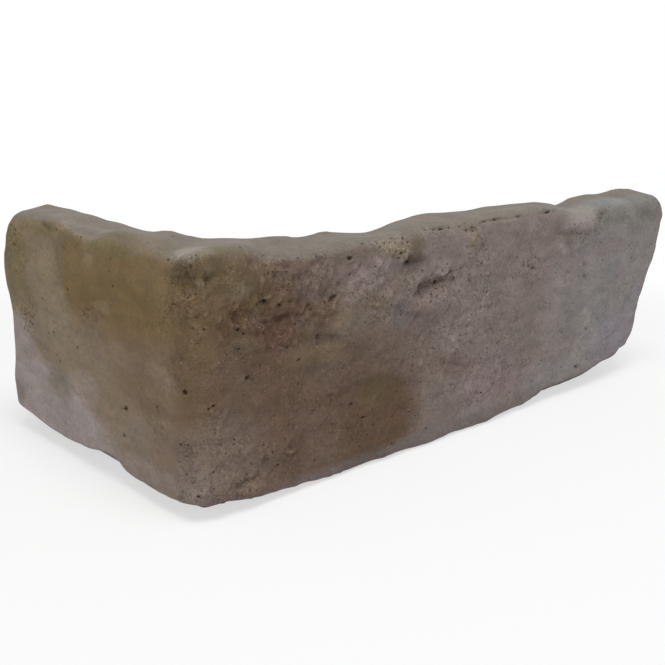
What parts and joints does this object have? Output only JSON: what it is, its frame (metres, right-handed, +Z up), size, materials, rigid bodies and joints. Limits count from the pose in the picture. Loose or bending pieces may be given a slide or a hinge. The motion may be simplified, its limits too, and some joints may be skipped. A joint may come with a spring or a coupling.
{
  "type": "corner cladding tile",
  "caption": "L-shaped cast concrete corner tile with a worn handmade-brick face, bonded over the outer corner of a wall.",
  "frame": {"origin": "centre of the bounding box at the level of the bed that the tile stands on", "axes": "+Z up from the bed; +X along the long leg, away from the outer corner; +Y along the short leg, away from the outer corner. The moulded faces look towards -Y and -X"},
  "size_m": [0.2166, 0.0996, 0.0665],
  "materials": {
    "concrete": "matt cast concrete, stained ochre brown to warm grey"
  },
  "bodies": {
    "root": {"corner_tile": "concrete"}
  },
  "joints": []
}
